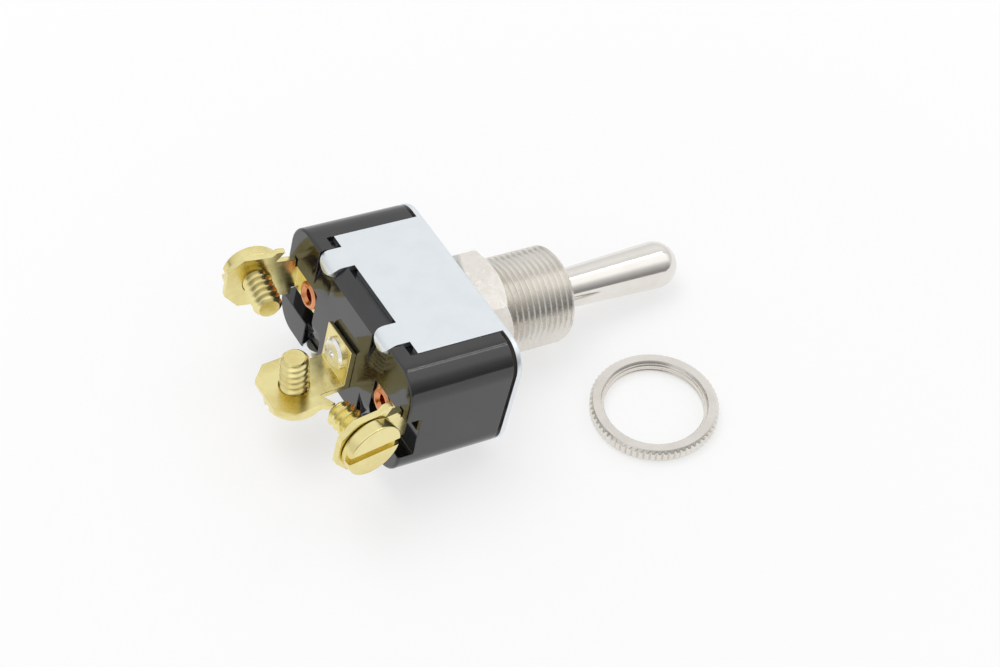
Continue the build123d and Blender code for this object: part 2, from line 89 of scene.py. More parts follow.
# Bushing: the rim, the ball socket and the walls behind it
pivot_x = 6.0
ball_bore = 3.75
socket_back = 4.0
socket_steps = 6
throat_radius = 3.0
mouth_radius = 4.35
rim_round = 0.3
rim_round_steps = 3
skirt_radius = 4.4
spigot_radius = 5.0
flare_radius = 5.35
frame_back = -0.84
flare_back = -1.19
pin_slot_half = 0.8
pin_slot_reach = 4.65
pin_slot_past = 0.5

# Terminal screws: head_seat is the head's underside, out from the joint's point, and slot_across
# the direction that the slot lies square to
screw_thread_radius = 1.74
screw_thread_depth = 0.5
screw_thread_pitch = 0.95
screw_run_out = screw_thread_depth + 0.03
screw_segments = 48
shank_length = 5.48
head_seat = 0.88
head_radius = 3.5
head_thickness = 1.6
head_round = 0.22
head_round_steps = 4
slot_width = 1.0
slot_depth = 0.8
slot_past = 1.0
slot_across = {"screw_a": (0, 0, 1), "screw_b": (0, 0, 1), "screw_common": (0, 1, 0)}

# Face nut: knurled rim, and a bore whose thread starts inside a lead-in
ring_radius = 7.7
ring_height = 1.9
ring_chamfer = 0.38
knurl_notches = 64
knurl_steps = 8
knurl_rows = 20
knurl_depth = 0.23
ring_lead = 6.4
ring_root = 6.12
ring_crest = 5.96
ring_bore_steps = 24
ring_place = (19.35, -17.3, -5.6)

# Edge breaks of the pieces that keep their CAD shape
edge_breaks = {
    "base": 0.14,
    "frame": 0.09,
    "hex_nut": 0.1,
    "terminal_a": 0.1,
    "terminal_b": 0.1,
    "terminal_common": 0.1,
}
edge_break_steps = 2
edge_break_angle = 32.0

# Degrees past which an edge shades sharp, on turned pieces and on softened ones, and within
# which two CAD facets are one flat face
turned_crease = 38.0
softened_crease = 30.0
flat_angle = 0.4

# Largest part of an edge that the rounding of a corner takes
rounding_reach = 0.45

# Gaps within which two corners are one: in a turned piece, in a grid and in a CAD node
weld_gap = 0.0004
grid_gap = 0.0005
cad_gap = 0.001

# Floor that the switch lies on, tilted because the switch lies nose down
rest_pitch = math.radians(10.6)
floor_point = Vector((19.35, -17.3, -5.62)) * MM
floor_radius = 900 * MM
floor_clear_radius = 45 * MM
floor_white_radius = 135 * MM
floor_paper = 0.95
floor_white_share = 0.62
floor_mirror_lift = 0.2

# Room: level of its diffuse light, and of what metal mirrors past the two ends of the switch
room_level = 0.7
end_level = 0.8
end_starts = 0.7
end_full = 0.95

# Lamps: place, width and length, watts, and whether metal mirrors them
lamps = {
    "overhead": ((-180, 120, 500), (420, 300), 1.0, False),
    "far_tube": ((294, 86, 516), (9, 300), 0.06, True),
    "near_tube": ((294, 20, 523), (9, 300), 0.06, True),
}

# Noise values between which a grain or a cloud goes from none to full, and the roughness that a
# metal's dulled patches add
grain_range = (0.3, 0.7)
cloud_range = (0.42, 0.68)
dulled_roughness = 0.08

# Stretch of a grain: none, and that of a piece turned or drawn along X
even = (1.0, 1.0, 1.0)
drawn = (1.0, 0.2, 0.2)

# What the metal mirrors of the room: degrees up from the horizon in front, and the level there
room_bands = (
    (0, 0.26),
    (18, 0.3),
    (40, 0.6),
    (60, 1.18),
    (93, 1.28),
    (97, 0.8),
    (128, 0.98),
    (165, 0.84),
    (180, 0.8),
)


# Camera at the photograph's place and viewing angle
def make_camera():
    data = bpy.data.cameras.new("camera")
    data.sensor_width = 36.0
    data.lens = camera_lens
    data.clip_start = 0.01
    data.clip_end = 10.0
    camera = bpy.data.objects.new("camera", data)
    turn = Matrix((camera_right, camera_up, camera_back)).transposed().to_4x4()
    camera.matrix_world = Matrix.Translation(Vector(camera_place) * MM) @ turn
    bpy.context.scene.collection.objects.link(camera)
    bpy.context.scene.camera = camera


make_camera()


# Shader tree helpers
def add_node(tree, kind, settings=None, **values):
    node = tree.nodes.new(kind)
    for name, value in (settings or {}).items():
        setattr(node, name, value)
    for name, value in values.items():
        plug(tree, node, name.replace("_", " "), value)
    return node


# Give an input a value, or link it where the value is another node's output
def plug(tree, node, name, value):
    matches = [s for s in node.inputs if s.name == name or s.identifier == name]
    shown = [s for s in matches if s.enabled]
    socket = (shown or matches)[0]
    if isinstance(value, bpy.types.NodeSocket):
        tree.links.new(value, socket)
    else:
        socket.default_value = value


def math_node(tree, operation, a, b=None, c=None, clamp=False):
    node = tree.nodes.new("ShaderNodeMath")
    node.operation = operation
    node.use_clamp = clamp
    for i, value in enumerate((a, b, c)):
        if value is None:
            continue
        if isinstance(value, bpy.types.NodeSocket):
            tree.links.new(value, node.inputs[i])
        else:
            node.inputs[i].default_value = value
    return node.outputs[0]


def grey(level):
    return (level, level, level, 1.0)


def mix_color(tree, factor, first, second):
    mix = add_node(tree, "ShaderNodeMix", {"data_type": "RGBA"})
    plug(tree, mix, "Factor", factor)
    plug(tree, mix, "A", first)
    plug(tree, mix, "B", second)
    return [s for s in mix.outputs if s.enabled][0]


def mix_shader(tree, factor, first, second):
    mix = tree.nodes.new("ShaderNodeMixShader")
    tree.links.new(factor, mix.inputs["Fac"])
    tree.links.new(first, mix.inputs[1])
    tree.links.new(second, mix.inputs[2])
    return mix.outputs[0]


# Full where the ray comes from a mirror image or through glass
def mirror_ray(tree, path):
    glossy, through = path.outputs["Is Glossy Ray"], path.outputs["Is Transmission Ray"]
    return math_node(tree, "ADD", glossy, through, clamp=True)


def shader_group(name, inputs, outputs):
    tree = bpy.data.node_groups.new(name, "ShaderNodeTree")
    for label, kind, value in inputs:
        socket = tree.interface.new_socket(name=label, in_out="INPUT", socket_type=kind)
        socket.default_value = value
    for label, kind in outputs:
        tree.interface.new_socket(name=label, in_out="OUTPUT", socket_type=kind)
    start = tree.nodes.new("NodeGroupInput")
    end = tree.nodes.new("NodeGroupOutput")
    return tree, start, end


# Fine uneven surface, from a pressed sheet's streaks to a moulding's soft waves
def build_grain_group():
    tree, start, end = shader_group(
        "surface grain",
        (
            ("Stretch", "NodeSocketVector", (1.0, 1.0, 1.0)),
            ("Scale", "NodeSocketFloat", 1000.0),
            ("Detail", "NodeSocketFloat", 4.0),
            ("Low", "NodeSocketFloat", 0.0),
            ("High", "NodeSocketFloat", 1.0),
        ),
        (("Value", "NodeSocketFloat"), ("Height", "NodeSocketFloat")),
    )
    place = tree.nodes.new("ShaderNodeTexCoord")
    stretched = add_node(tree, "ShaderNodeVectorMath", {"operation": "MULTIPLY"})
    tree.links.new(place.outputs["Object"], stretched.inputs[0])
    tree.links.new(start.outputs["Stretch"], stretched.inputs[1])
    noise = tree.nodes.new("ShaderNodeTexNoise")
    tree.links.new(stretched.outputs["Vector"], noise.inputs["Vector"])
    tree.links.new(start.outputs["Scale"], noise.inputs["Scale"])
    tree.links.new(start.outputs["Detail"], noise.inputs["Detail"])
    spread = tree.nodes.new("ShaderNodeMapRange")
    spread.inputs["From Min"].default_value = grain_range[0]
    spread.inputs["From Max"].default_value = grain_range[1]
    tree.links.new(noise.outputs["Fac"], spread.inputs["Value"])
    tree.links.new(start.outputs["Low"], spread.inputs["To Min"])
    tree.links.new(start.outputs["High"], spread.inputs["To Max"])
    tree.links.new(spread.outputs["Result"], end.inputs["Value"])
    tree.links.new(noise.outputs["Fac"], end.inputs["Height"])
    return tree


# Cloudy colour change between a clean and a dulled finish
def build_cloud_group():
    tree, start, end = shader_group(
        "clouded finish",
        (
            ("Clean", "NodeSocketColor", (0.8, 0.8, 0.8, 1.0)),
            ("Dulled", "NodeSocketColor", (0.6, 0.6, 0.6, 1.0)),
            ("Scale", "NodeSocketFloat", 250.0),
            ("Amount", "NodeSocketFloat", 0.5),
        ),
        (("Color", "NodeSocketColor"), ("Mask", "NodeSocketFloat")),
    )
    place = tree.nodes.new("ShaderNodeTexCoord")
    noise = tree.nodes.new("ShaderNodeTexNoise")
    noise.inputs["Detail"].default_value = 5.0
    noise.inputs["Roughness"].default_value = 0.6
    tree.links.new(place.outputs["Object"], noise.inputs["Vector"])
    tree.links.new(start.outputs["Scale"], noise.inputs["Scale"])
    spread = tree.nodes.new("ShaderNodeMapRange")
    spread.inputs["From Min"].default_value = cloud_range[0]
    spread.inputs["From Max"].default_value = cloud_range[1]
    tree.links.new(noise.outputs["Fac"], spread.inputs["Value"])
    amount = math_node(tree, "MULTIPLY", spread.outputs["Result"], start.outputs["Amount"])
    mixed = mix_color(tree, amount, start.outputs["Clean"], start.outputs["Dulled"])
    tree.links.new(mixed, end.inputs["Color"])
    tree.links.new(amount, end.inputs["Mask"])
    return tree


# Sparse specks, such as dust on a moulding or pits in a plating
def build_speck_group():
    tree, start, end = shader_group(
        "sparse specks",
        (
            ("Scale", "NodeSocketFloat", 900.0),
            ("Size", "NodeSocketFloat", 0.12),
            ("Share", "NodeSocketFloat", 0.2),
        ),
        (("Mask", "NodeSocketFloat"),),
    )
    place = tree.nodes.new("ShaderNodeTexCoord")
    cells = tree.nodes.new("ShaderNodeTexVoronoi")
    tree.links.new(place.outputs["Object"], cells.inputs["Vector"])
    tree.links.new(start.outputs["Scale"], cells.inputs["Scale"])
    near = math_node(tree, "LESS_THAN", cells.outputs["Distance"], start.outputs["Size"])
    split = tree.nodes.new("ShaderNodeSeparateColor")
    tree.links.new(cells.outputs["Color"], split.inputs["Color"])
    chosen = math_node(tree, "LESS_THAN", split.outputs["Red"], start.outputs["Share"])
    tree.links.new(math_node(tree, "MULTIPLY", near, chosen), end.inputs["Mask"])
    return tree


grain_group = build_grain_group()
cloud_group = build_cloud_group()
speck_group = build_speck_group()


def use_group(tree, group, **values):
    node = tree.nodes.new("ShaderNodeGroup")
    node.node_tree = group
    for name, value in values.items():
        plug(tree, node, name, value)
    return node


def new_material(name):
    material = bpy.data.materials.new(name)
    material.use_nodes = True
    tree = material.node_tree
    shader = tree.nodes["Principled BSDF"]
    return material, tree, shader


def bump_normal(tree, shader, height, strength, depth):
    bump = tree.nodes.new("ShaderNodeBump")
    bump.inputs["Strength"].default_value = strength
    bump.inputs["Distance"].default_value = depth * MM
    tree.links.new(height, bump.inputs["Height"])
    tree.links.new(bump.outputs["Normal"], shader.inputs["Normal"])


# Metal finish: cloudy colour, streaked roughness and a fine uneven skin
def metal(name, clean, dulled, rough, stretch, scale, cloud_scale=250.0, amount=0.5):
    material, tree, shader = new_material(name)
    shader.inputs["Metallic"].default_value = 1.0
    cloud = use_group(
        tree,
        cloud_group,
        Clean=(*clean, 1.0),
        Dulled=(*dulled, 1.0),
        Scale=cloud_scale,
        Amount=amount,
    )
    tree.links.new(cloud.outputs["Color"], shader.inputs["Base Color"])
    grain = use_group(
        tree, grain_group, Stretch=stretch, Scale=scale, Detail=5.0, Low=rough[0], High=rough[1]
    )
    dull = math_node(tree, "MULTIPLY", cloud.outputs["Mask"], dulled_roughness)
    total = math_node(tree, "ADD", grain.outputs["Value"], dull)
    tree.links.new(total, shader.inputs["Roughness"])
    bump_normal(tree, shader, grain.outputs["Height"], strength=0.6, depth=0.002)
    return material


# Moulded phenolic: deep gloss with a slightly wavy skin and a few dust specks
def phenolic_finish():
    material, tree, shader = new_material("phenolic")
    specks = use_group(tree, speck_group, Scale=700.0, Size=0.07, Share=0.1)
    grain = use_group(
        tree, grain_group, Stretch=even, Scale=420.0, Detail=2.0, Low=0.06, High=0.13
    )
    body = use_group(
        tree,
        cloud_group,
        Clean=(0.0085, 0.0085, 0.0095, 1.0),
        Dulled=(0.016, 0.015, 0.015, 1.0),
        Scale=180.0,
        Amount=0.8,
    )
    dust = mix_color(tree, specks.outputs["Mask"], body.outputs["Color"], (0.16, 0.155, 0.15, 1.0))
    tree.links.new(dust, shader.inputs["Base Color"])
    dusty = math_node(tree, "MULTIPLY", specks.outputs["Mask"], 0.5)
    total = math_node(tree, "ADD", grain.outputs["Value"], dusty)
    tree.links.new(total, shader.inputs["Roughness"])
    bump_normal(tree, shader, grain.outputs["Height"], strength=0.25, depth=0.012)
    shader.inputs["IOR"].default_value = 1.68
    return material


# Hard fibre board and moulded plunger: fine matt grain
def matt_finish(name, light, dark, scale, rough):
    material, tree, shader = new_material(name)
    cloud = use_group(
        tree, cloud_group, Clean=(*light, 1.0), Dulled=(*dark, 1.0), Scale=scale, Amount=1.0
    )
    tree.links.new(cloud.outputs["Color"], shader.inputs["Base Color"])
    grain = use_group(
        tree,
        grain_group,
        Stretch=even,
        Scale=scale * 4,
        Detail=6.0,
        Low=rough - 0.08,
        High=rough + 0.08,
    )
    tree.links.new(grain.outputs["Value"], shader.inputs["Roughness"])
    bump_normal(tree, shader, grain.outputs["Height"], strength=0.5, depth=0.01)
    return material


# Metals: clean colour, dulled colour, roughness range, the grain's stretch and scale, and for some
# the cloud's scale and amount
metals = {
    "zinc_plate": ((0.82, 0.86, 0.89), (0.76, 0.805, 0.84), (0.34, 0.42), even, 2600.0),
    "nickel_plate": ((0.78, 0.75, 0.7), (0.64, 0.6, 0.54), (0.16, 0.28), even, 2400.0),
    "polished_nickel": ((0.8, 0.77, 0.73), (0.72, 0.68, 0.62), (0.07, 0.13), drawn, 1400.0),
    "steel": ((0.6, 0.6, 0.6), (0.42, 0.42, 0.42), (0.25, 0.35), even, 2000.0),
    "brass": ((0.85, 0.755, 0.37), (0.69, 0.56, 0.2), (0.17, 0.26), even, 1500.0, 220.0, 0.7),
    "copper": ((0.74, 0.32, 0.16), (0.56, 0.2, 0.08), (0.15, 0.24), even, 2000.0, 400.0, 0.6),
    "silver": ((0.95, 0.94, 0.92), (0.84, 0.82, 0.8), (0.2, 0.32), even, 1700.0),
}

finish_of = {name: metal(name, *values) for name, values in metals.items()}
finish_of["phenolic"] = phenolic_finish()
finish_of["fibre"] = matt_finish("fibre", (0.12, 0.09, 0.06), (0.08, 0.06, 0.04), 900.0, 0.75)
finish_of["nylon"] = matt_finish("nylon", (0.72, 0.69, 0.62), (0.62, 0.58, 0.5), 500.0, 0.45)
slot_of = {s["node"]: s["material_slot"] for s in frame["record"]["subparts"]}

for name, node in nodes.items():
    node.data.materials.clear()
    node.data.materials.append(finish_of[slot_of[name]])


# Geometry tree helpers: the columns of a grid go round the axis, its rows along it
def ring_tree(name, inputs):
    tree = bpy.data.node_groups.new(name, "GeometryNodeTree")
    for label, kind, value in inputs:
        socket = tree.interface.new_socket(name=label, in_out="INPUT", socket_type=kind)
        if value is not None:
            socket.default_value = value
    tree.interface.new_socket(name="Geometry", in_out="OUTPUT", socket_type="NodeSocketGeometry")
    return tree, tree.nodes.new("NodeGroupInput").outputs


# Math nodes of one tree, written as calls
def numbers_in(tree):
    def number(operation, a, b=None, clamp=False):
        return math_node(tree, operation, a, b, clamp=clamp)

    return number


def unit_grid(tree, rows, columns):
    grid = tree.nodes.new("GeometryNodeMeshGrid")
    tree.links.new(rows, grid.inputs["Vertices X"])
    tree.links.new(columns, grid.inputs["Vertices Y"])
    place = tree.nodes.new("GeometryNodeInputPosition")
    split = tree.nodes.new("ShaderNodeSeparateXYZ")
    tree.links.new(place.outputs[0], split.inputs[0])
    along = math_node(tree, "ADD", split.outputs["X"], 0.5)
    around = math_node(tree, "ADD", split.outputs["Y"], 0.5)
    return grid, along, around


def wrap_grid(tree, grid, x, radius, around, finish):
    angle = math_node(tree, "MULTIPLY", around, math.tau)
    joined = tree.nodes.new("ShaderNodeCombineXYZ")
    tree.links.new(x, joined.inputs["X"])
    y = math_node(tree, "MULTIPLY", radius, math_node(tree, "COSINE", angle))
    z = math_node(tree, "MULTIPLY", radius, math_node(tree, "SINE", angle))
    tree.links.new(y, joined.inputs["Y"])
    tree.links.new(z, joined.inputs["Z"])
    moved = tree.nodes.new("GeometryNodeSetPosition")
    tree.links.new(grid.outputs["Mesh"], moved.inputs["Geometry"])
    tree.links.new(joined.outputs[0], moved.inputs["Position"])
    merged = tree.nodes.new("GeometryNodeMergeByDistance")
    merged.inputs["Distance"].default_value = grid_gap
    tree.links.new(moved.outputs["Geometry"], merged.inputs["Geometry"])
    real = tree.nodes.new("GeometryNodeRealizeInstances")
    tree.links.new(merged.outputs["Geometry"], real.inputs["Geometry"])
    painted = tree.nodes.new("GeometryNodeSetMaterial")
    tree.links.new(real.outputs["Geometry"], painted.inputs["Geometry"])
    tree.links.new(finish, painted.inputs["Material"])
    end = tree.nodes.new("NodeGroupOutput")
    tree.links.new(painted.outputs["Geometry"], end.inputs["Geometry"])


# A cut thread: the grid's rows follow the helix, so each crest is one unbroken edge
def build_thread_tree():
    tree, given = ring_tree(
        "cut thread",
        (
            ("Radius", "NodeSocketFloat", 1.0),
            ("Depth", "NodeSocketFloat", 0.1),
            ("Pitch", "NodeSocketFloat", 0.8),
            ("Length", "NodeSocketFloat", 5.0),
            ("Run Out", "NodeSocketFloat", 0.1),
            ("Turns", "NodeSocketInt", 8),
            ("Rows", "NodeSocketInt", 10),
            ("Segments", "NodeSocketInt", 64),
            ("Finish", "NodeSocketMaterial", None),
        ),
    )

    number = numbers_in(tree)
    rows = number("ADD", number("MULTIPLY", given["Turns"], given["Rows"]), 1.0)
    grid, along, around = unit_grid(tree, rows, number("ADD", given["Segments"], 1.0))
    turns = number("MULTIPLY", along, given["Turns"])
    raw = number("MULTIPLY", number("SUBTRACT", number("ADD", turns, around), 1.0), given["Pitch"])
    x = number("MINIMUM", number("MAXIMUM", raw, 0.0), given["Length"])
    phase = number("SUBTRACT", number("MULTIPLY", number("FRACT", turns), 2.0), 1.0)
    ridge = number("SUBTRACT", flank_foot, number("ABSOLUTE", phase))
    height = number("MULTIPLY", number("DIVIDE", ridge, flank_run, clamp=True), given["Depth"])
    cut = number("ADD", number("SUBTRACT", given["Radius"], given["Depth"]), height)
    near_end = number("SUBTRACT", x, number("SUBTRACT", given["Length"], given["Run Out"]))
    near_start = number("SUBTRACT", given["Run Out"], x)
    near = number("MAXIMUM", number("MAXIMUM", near_end, near_start), 0.0)
    radius = number("MINIMUM", cut, number("SUBTRACT", given["Radius"], near))
    wrap_grid(tree, grid, x, radius, around, given["Finish"])
    return tree


# A straight-knurled band: notches cut across a chamfered rim
def build_knurl_tree():
    tree, given = ring_tree(
        "knurled band",
        (
            ("Radius", "NodeSocketFloat", 1.0),
            ("Height", "NodeSocketFloat", 1.0),
            ("Chamfer", "NodeSocketFloat", 0.1),
            ("Notch", "NodeSocketFloat", 0.1),
            ("Count", "NodeSocketInt", 60),
            ("Steps", "NodeSocketInt", 8),
            ("Rows", "NodeSocketInt", 10),
            ("Finish", "NodeSocketMaterial", None),
        ),
    )

    number = numbers_in(tree)
    columns = number("ADD", number("MULTIPLY", given["Count"], given["Steps"]), 1.0)
    grid, along, around = unit_grid(tree, number("ADD", given["Rows"], 1.0), columns)
    x = number("MULTIPLY", along, given["Height"])
    from_end = number("MINIMUM", x, number("SUBTRACT", given["Height"], x))
    rim = number("MAXIMUM", number("SUBTRACT", given["Chamfer"], from_end), 0.0)
    phase = number("SUBTRACT", number("FRACT", number("MULTIPLY", around, given["Count"])), 0.5)
    spacing = number("DIVIDE", number("MULTIPLY", given["Radius"], math.tau), given["Count"])
    off_centre = number("MULTIPLY", number("ABSOLUTE", phase), spacing)
    notch = number("MAXIMUM", number("SUBTRACT", given["Notch"], off_centre), 0.0)
    radius = number("SUBTRACT", given["Radius"], number("MAXIMUM", rim, notch))
    wrap_grid(tree, grid, x, radius, around, given["Finish"])
    return tree


thread_tree = build_thread_tree()
knurl_tree = build_knurl_tree()


# Object that holds a mesh in the scene
def held(name, mesh):
    holder = bpy.data.objects.new(name, mesh)
    bpy.context.scene.collection.objects.link(holder)
    return holder


# Plain mesh of a holder with its modifiers, after which the holder is gone
def settled(holder):
    graph = bpy.context.evaluated_depsgraph_get()
    mesh = bpy.data.meshes.new_from_object(holder.evaluated_get(graph))
    bpy.data.objects.remove(holder)
    return mesh


# Plain mesh of a geometry tree with the given inputs
def grown_mesh(name, tree, **values):
    holder = held(name, bpy.data.meshes.new(name))
    modifier = holder.modifiers.new("growth", "NODES")
    modifier.node_group = tree
    for item in tree.interface.items_tree:
        key = item.name.replace(" ", "_")
        if item.in_out == "INPUT" and key in values:
            modifier[item.identifier] = values[key]
    return settled(holder)


# Surface turned about the X axis from an outline of places and radii
def add_lathe(shape, outline, segments):
    steps = [math.tau * i / segments for i in range(segments)]
    rings = []
    for x, radius in outline:
        if radius <= 0:
            rings.append([shape.verts.new((x, 0, 0))])
        else:
            rings.append(
                [shape.verts.new((x, radius * math.cos(a), radius * math.sin(a))) for a in steps]
            )
    for near, far in zip(rings, rings[1:]):
        for i in range(segments):
            j = (i + 1) % segments
            corners = [near[i % len(near)], near[j % len(near)]]
            corners += [far[j % len(far)], far[i % len(far)]]
            shape.faces.new(list(dict.fromkeys(corners)))


# Same outline with the corners between its ends rounded
def rounded(outline, radius, steps):
    result = [outline[0]]
    for i in range(1, len(outline) - 1):
        before, corner, after = (Vector(point) for point in outline[i - 1 : i + 2])
        shorter = min((before - corner).length, (after - corner).length)
        reach = min(radius, shorter * rounding_reach)
        start = corner + (before - corner).normalized() * reach
        end = corner + (after - corner).normalized() * reach
        for k in range(steps + 1):
            t = k / steps
            result.append(tuple(start.lerp(corner, t).lerp(corner.lerp(end, t), t)))
    result.append(outline[-1])
    return result


# Mesh of a shape, with its seams welded and its faces outward
def closed_mesh(name, shape):
    bmesh.ops.remove_doubles(shape, verts=shape.verts, dist=weld_gap)
    bmesh.ops.recalc_face_normals(shape, faces=shape.faces)
    mesh = bpy.data.meshes.new(name)
    shape.to_mesh(mesh)
    shape.free()
    return mesh


# Same mesh with normals weighted by face area, so a flat face shades flat up to its soft edge
def evenly_shaded(mesh):
    holder = held("holder", mesh)
    weighted = holder.modifiers.new("weighted", "WEIGHTED_NORMAL")
    weighted.keep_sharp = True
    weighted.weight = 100
    return settled(holder)


# Finished piece from a mesh in millimetres, in the place of a CAD node
def dress(name, mesh, place, finish, body, replaced, crease=turned_crease):
    mesh.transform(place @ Matrix.Scale(MM, 4))
    mesh.materials.clear()
    mesh.materials.append(finish_of[finish])
    for face in mesh.polygons:
        face.material_index = 0
        face.use_smooth = True
    mesh.set_sharp_from_angle(angle=math.radians(crease))
    piece = held(name, evenly_shaded(mesh))
    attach(piece, body)
    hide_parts(replaced)


# Mesh with a box cut out of it, from the box's lowest to its highest corner
def cut_box(mesh, low, high):
    shape = bmesh.new()
    corners = [
        shape.verts.new((x, y, z))
        for x in (low[0], high[0])
        for y in (low[1], high[1])
        for z in (low[2], high[2])
    ]
    sides = ((0, 1, 3, 2), (4, 6, 7, 5), (0, 4, 5, 1), (2, 3, 7, 6), (0, 2, 6, 4), (1, 5, 7, 3))
    for side in sides:
        shape.faces.new([corners[i] for i in side])
    cutter = held("cutter", closed_mesh("cutter", shape))
    holder = held("holder", mesh)
    modifier = holder.modifiers.new("cut", "BOOLEAN")
    modifier.operation = "DIFFERENCE"
    modifier.solver = "EXACT"
    modifier.object = cutter
    result = settled(holder)
    bpy.data.objects.remove(cutter)
    return result


# Same solid with its sharp edges broken, as pressing and plating leave them
def bevelled(mesh, width):
    holder = held("holder", mesh)
    bevel = holder.modifiers.new("edge break", "BEVEL")
    bevel.width = width
    bevel.segments = edge_break_steps
    bevel.limit_method = "ANGLE"
    bevel.angle_limit = math.radians(edge_break_angle)
    bevel.use_clamp_overlap = True
    bevel.miter_outer = "MITER_ARC"
    return settled(holder)


# Piece in a CAD node's own shape, made of whole faces again and with its edges broken
def soften(node, width):
    shape = bmesh.new()
    shape.from_mesh(nodes[node].data)
    bmesh.ops.scale(shape, vec=(1 / MM,) * 3, verts=shape.verts)
    bmesh.ops.remove_doubles(shape, verts=shape.verts, dist=cad_gap)
    limit = math.radians(flat_angle)
    bmesh.ops.dissolve_limit(shape, angle_limit=limit, verts=shape.verts, edges=shape.edges)
    mesh = bpy.data.meshes.new(node)
    shape.to_mesh(mesh)
    shape.free()
    dress(
        node + "_soft",
        bevelled(mesh, width),
        Matrix.Identity(4),
        slot_of[node],
        nodes[node]["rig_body"],
        node,
        softened_crease,
    )


# Bushing: cut thread, rounded rim and the walls behind it down to the staked flare
def make_bushing():
    ring = bushing_thread_radius - bushing_run_out
    thread = grown_mesh(
        "bushing_thread",
        thread_tree,
        Radius=bushing_thread_radius,
        Depth=bushing_thread_depth,
        Pitch=thread_pitch,
        Length=bushing_length,
        Run_Out=bushing_run_out,
        Turns=math.ceil(bushing_length / thread_pitch) + 1,
        Rows=thread_rows,
        Segments=bushing_segments,
        Finish=finish_of["nickel_plate"],
    )
    shape = bmesh.new()
    shape.from_mesh(thread)
    for vert in shape.verts:
        radius = math.hypot(vert.co.y, vert.co.z)
        if vert.co.x < nut_front and radius > nut_bore_radius:
            vert.co.y *= nut_bore_radius / radius
            vert.co.z *= nut_bore_radius / radius
    throat = math.asin(throat_radius / ball_bore)
    step = (math.pi / 2 - throat) / socket_steps
    arc = [throat + step * (i + 1) for i in range(socket_steps)]
    rim = rounded(
        [
            (bushing_length, ring),
            (bushing_length, mouth_radius),
            (pivot_x + ball_bore * math.cos(throat), throat_radius),
        ],
        rim_round,
        rim_round_steps,
    )
    inside = [(pivot_x + ball_bore * math.cos(a), ball_bore * math.sin(a)) for a in arc]
    back = [
        (socket_back, ball_bore),
        (0.0, skirt_radius),
        (flare_back, skirt_radius),
        (flare_back, flare_radius),
        (frame_back, flare_radius),
        (frame_back, spigot_radius),
        (0.0, spigot_radius),
        (0.0, ring),
    ]
    add_lathe(shape, rim + inside + back, bushing_segments)
    mesh = cut_box(
        closed_mesh("bushing", shape),
        (flare_back - pin_slot_past, -pin_slot_half, -pin_slot_reach),
        (pivot_x + pin_slot_half, pin_slot_half, pin_slot_reach),
    )
    dress("bushing_cut", mesh, Matrix.Identity(4), "nickel_plate", "switch", "bushing")


# Terminal screw: threaded shank, flat slotted head with its edge broken
def make_screw(name):
    joint = [j for j in frame["joints"] if j["child"] == name][0]
    axis = Vector(joint["axis"]).normalized()
    run = axis.cross(Vector(slot_across[name])).normalized()
    turn = Matrix((axis, run, axis.cross(run))).transposed().to_4x4()
    place = Matrix.Translation(Vector(joint["pos_m"]) + axis * head_seat * MM) @ turn
    thread = grown_mesh(
        name + "_thread",
        thread_tree,
        Radius=screw_thread_radius,
        Depth=screw_thread_depth,
        Pitch=screw_thread_pitch,
        Length=shank_length,
        Run_Out=screw_run_out,
        Turns=math.ceil(shank_length / screw_thread_pitch) + 1,
        Rows=thread_rows,
        Segments=screw_segments,
        Finish=finish_of["brass"],
    )
    thread.transform(Matrix.Translation((-shank_length, 0, 0)))
    shape = bmesh.new()
    shape.from_mesh(thread)
    ring = screw_thread_radius - screw_run_out
    tip = [(-shank_length, ring), (-shank_length, ring / 2), (-shank_length, 0)]
    add_lathe(shape, tip, screw_segments)
    head = rounded(
        [
            (0, ring),
            (0, head_radius),
            (head_thickness, head_radius),
            (head_thickness, 0),
        ],
        head_round,
        head_round_steps,
    )
    add_lathe(shape, head, screw_segments)
    mesh = cut_box(
        closed_mesh(name, shape),
        (head_thickness - slot_depth, -head_radius - slot_past, -slot_width / 2),
        (head_thickness + slot_past, head_radius + slot_past, slot_width / 2),
    )
    dress(name + "_cut", mesh, place, "brass", name, name)


# Face nut: knurled rim, flat faces and a threaded bore
def make_face_nut():
    band = grown_mesh(
        "face_nut_band",
        knurl_tree,
        Radius=ring_radius,
        Height=ring_height,
        Chamfer=ring_chamfer,
        Notch=knurl_depth,
        Count=knurl_notches,
        Steps=knurl_steps,
        Rows=knurl_rows,
        Finish=finish_of["nickel_plate"],
    )
    shape = bmesh.new()
    shape.from_mesh(band)
    segments = knurl_notches * knurl_steps
    face = ring_radius - ring_chamfer
    span = ring_lead - ring_root
    top = ring_height - span
    wall = []
    for i in range(ring_bore_steps + 1):
        x = top - (ring_height - 2 * span) * i / ring_bore_steps
        ridge = 0.5 - 0.5 * math.cos(math.tau * (top - x) / thread_pitch)
        wall.append((x, ring_root + (ring_crest - ring_root) * ridge))
    wall[-1] = (span, ring_root)
    add_lathe(shape, [(ring_height, face), (ring_height, ring_lead), (top, ring_root)], segments)
    add_lathe(shape, wall, segments)
    add_lathe(shape, [(span, ring_root), (0, ring_lead), (0, face)], segments)
    up = Vector((-math.sin(rest_pitch), 0, math.cos(rest_pitch)))
    side = Vector((0, 1, 0))
    turn = Matrix((up, side, up.cross(side))).transposed().to_4x4()
    place = Matrix.Translation(Vector(ring_place) * MM) @ turn
    mesh = closed_mesh("face_nut_cut", shape)
    dress("face_nut_cut", mesh, place, "nickel_plate", "switch", "face_nut")


make_bushing()
for screw in slot_across:
    make_screw(screw)
make_face_nut()
for node, width in edge_breaks.items():
    soften(node, width)


